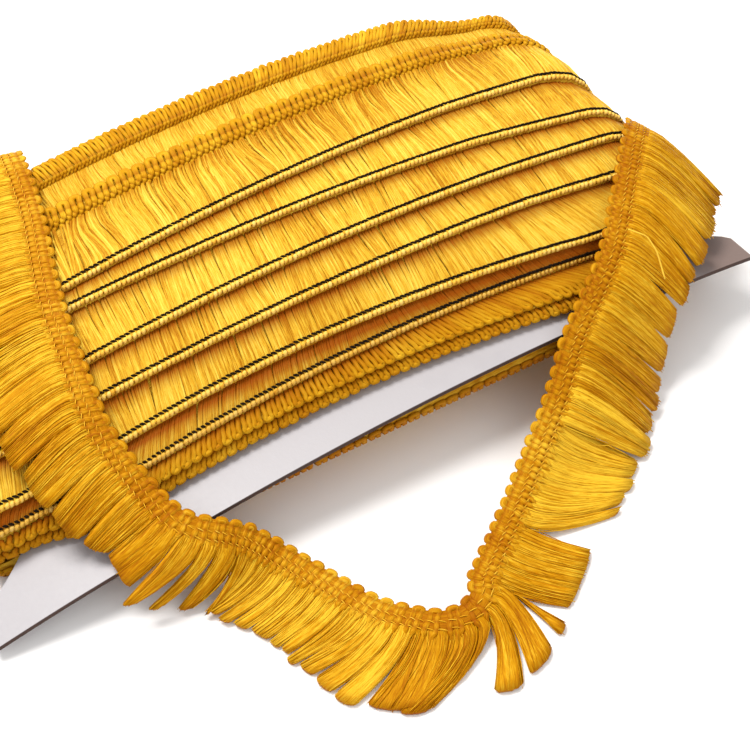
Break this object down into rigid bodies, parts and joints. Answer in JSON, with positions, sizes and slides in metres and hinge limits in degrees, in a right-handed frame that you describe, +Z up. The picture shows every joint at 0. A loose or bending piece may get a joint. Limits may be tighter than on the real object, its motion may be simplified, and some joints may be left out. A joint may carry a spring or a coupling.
{
  "type": "tassel fringe trim wound on a card",
  "caption": "Brush fringe with a looped heading, wound lengthwise on a notched card, with a loose length curving off its front.",
  "frame": {"origin": "middle of the winding's flat underside, on the surface it rests on", "axes": "+X along the card, +Y towards the back edge away from the loose length, +Z up"},
  "size_m": [0.2624, 0.2353, 0.0509],
  "materials": {
    "white_board": "smooth coated board",
    "wound_yarn": "soft golden yarn with a slight sheen",
    "loose_yarn": "soft golden yarn with a slight sheen"
  },
  "bodies": {
    "root": {"winding_card": "white_board", "wound_trim": "wound_yarn", "loose_length": "loose_yarn"}
  },
  "joints": []
}
